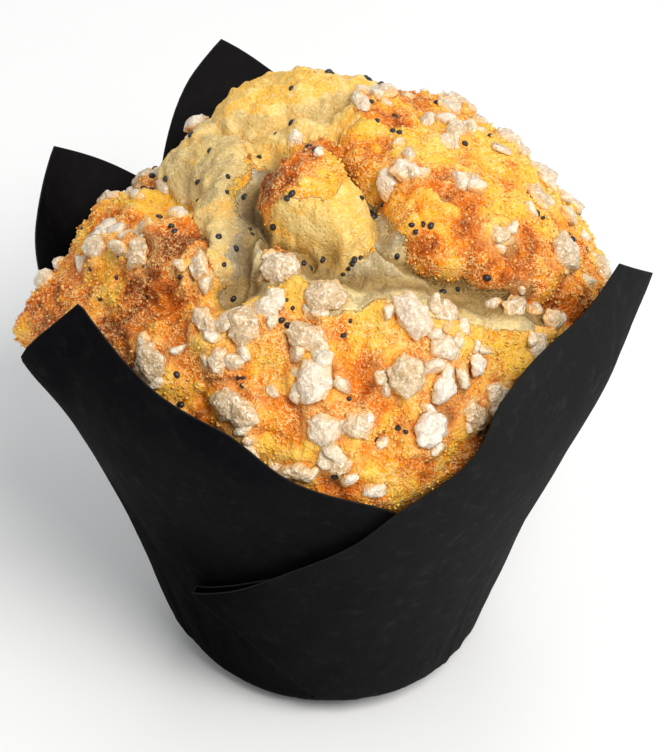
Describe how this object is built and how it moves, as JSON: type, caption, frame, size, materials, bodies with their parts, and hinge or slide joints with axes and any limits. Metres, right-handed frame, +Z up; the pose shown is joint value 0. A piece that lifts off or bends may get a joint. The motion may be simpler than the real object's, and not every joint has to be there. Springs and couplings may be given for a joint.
{
  "type": "muffin",
  "caption": "Baked muffin with a cracked, domed crust and sugar nibs, standing in a folded paper tulip case.",
  "frame": {"origin": "middle of the flat round base of the paper case, on the surface that it stands on", "axes": "+Z up through the muffin; -Y towards the front, where the crust's crack and most sugar nibs are; +X to the right seen from the front"},
  "size_m": [0.091, 0.0882, 0.0935],
  "materials": {
    "case_paper": "matte",
    "muffin_crust": "matte",
    "pearl_sugar": "satin"
  },
  "bodies": {
    "root": {"tulip_case": "case_paper", "muffin": "muffin_crust", "sugar_nib_01": "pearl_sugar", "sugar_nib_02": "pearl_sugar", "sugar_nib_03": "pearl_sugar", "sugar_nib_04": "pearl_sugar", "sugar_nib_05": "pearl_sugar", "sugar_nib_06": "pearl_sugar", "sugar_nib_07": "pearl_sugar", "sugar_nib_08": "pearl_sugar", "sugar_nib_09": "pearl_sugar", "sugar_nib_10": "pearl_sugar", "sugar_nib_11": "pearl_sugar", "sugar_nib_12": "pearl_sugar", "sugar_nib_13": "pearl_sugar", "sugar_nib_14": "pearl_sugar", "sugar_nib_15": "pearl_sugar", "sugar_nib_16": "pearl_sugar", "sugar_nib_17": "pearl_sugar", "sugar_nib_18": "pearl_sugar", "sugar_nib_19": "pearl_sugar", "sugar_nib_20": "pearl_sugar", "sugar_nib_21": "pearl_sugar", "sugar_nib_22": "pearl_sugar", "sugar_nib_23": "pearl_sugar", "sugar_nib_24": "pearl_sugar", "sugar_nib_25": "pearl_sugar", "sugar_nib_26": "pearl_sugar", "sugar_nib_27": "pearl_sugar", "sugar_nib_28": "pearl_sugar", "sugar_nib_29": "pearl_sugar", "sugar_nib_30": "pearl_sugar", "sugar_nib_31": "pearl_sugar", "sugar_nib_32": "pearl_sugar", "sugar_nib_33": "pearl_sugar", "sugar_nib_34": "pearl_sugar", "sugar_nib_35": "pearl_sugar", "sugar_nib_36": "pearl_sugar", "sugar_nib_37": "pearl_sugar", "sugar_nib_38": "pearl_sugar", "sugar_nib_39": "pearl_sugar", "sugar_nib_40": "pearl_sugar", "sugar_nib_41": "pearl_sugar", "sugar_nib_42": "pearl_sugar", "sugar_nib_43": "pearl_sugar", "sugar_nib_44": "pearl_sugar", "sugar_nib_45": "pearl_sugar", "sugar_nib_46": "pearl_sugar", "sugar_nib_47": "pearl_sugar", "sugar_nib_48": "pearl_sugar", "sugar_nib_49": "pearl_sugar", "sugar_nib_50": "pearl_sugar", "sugar_nib_51": "pearl_sugar", "sugar_nib_52": "pearl_sugar", "sugar_nib_53": "pearl_sugar", "sugar_nib_54": "pearl_sugar", "sugar_nib_55": "pearl_sugar", "sugar_nib_56": "pearl_sugar", "sugar_nib_57": "pearl_sugar"}
  },
  "joints": []
}
